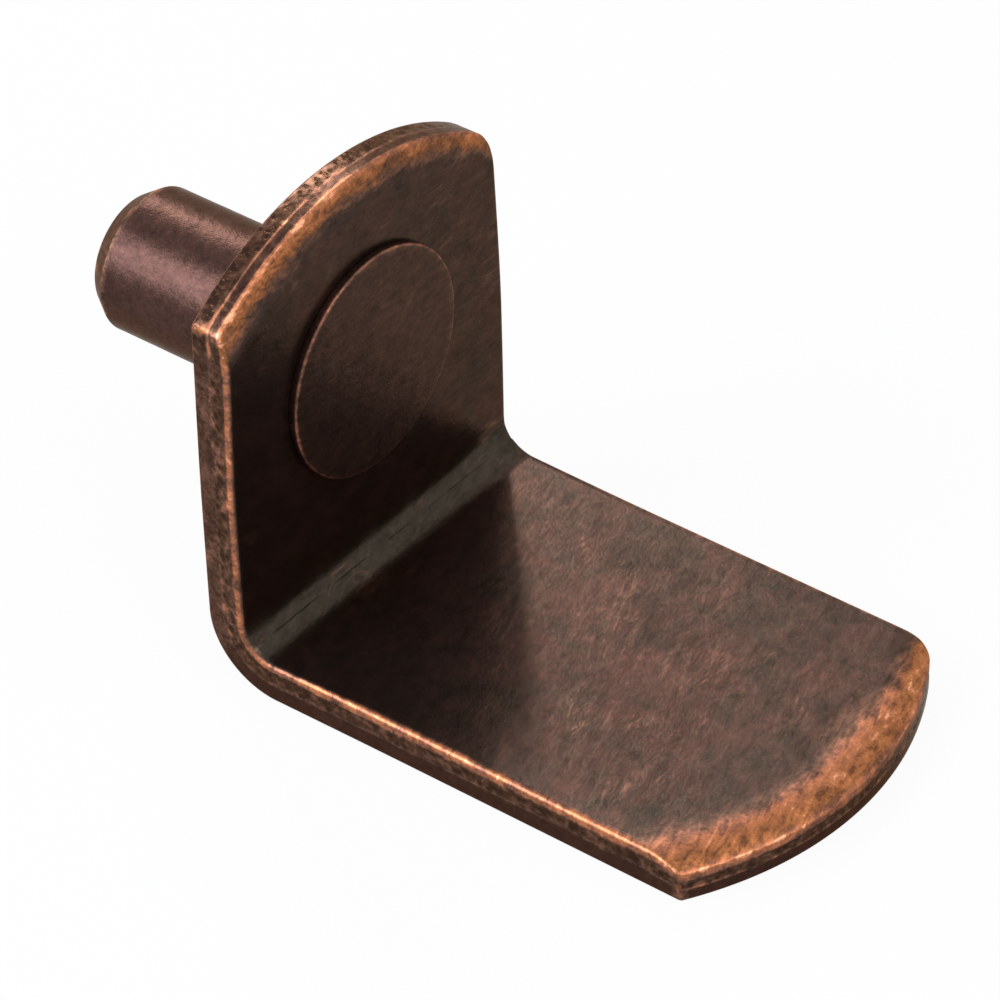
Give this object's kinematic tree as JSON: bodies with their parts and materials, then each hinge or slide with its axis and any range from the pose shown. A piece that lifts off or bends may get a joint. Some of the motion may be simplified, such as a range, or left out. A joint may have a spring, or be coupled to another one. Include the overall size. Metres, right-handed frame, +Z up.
{
  "type": "shelf support pin",
  "caption": "Folded metal shelf support with arched ends and a round 5 mm pin that plugs into a cabinet side.",
  "frame": {"origin": "on the pin's axis, at the plate's back face, which meets the cabinet side", "axes": "+Y along the pin into the cabinet side, +Z up, -Y along the arm under the shelf, X across the width"},
  "size_m": [0.0132, 0.0288, 0.016],
  "materials": {
    "bracket": "satin antique copper plate on steel, dark brown, rubbed back to bright copper at the edges",
    "pin": "satin antique copper plate on steel, dark brown"
  },
  "bodies": {
    "root": {"bracket": "bracket", "pin": "pin"}
  },
  "joints": []
}
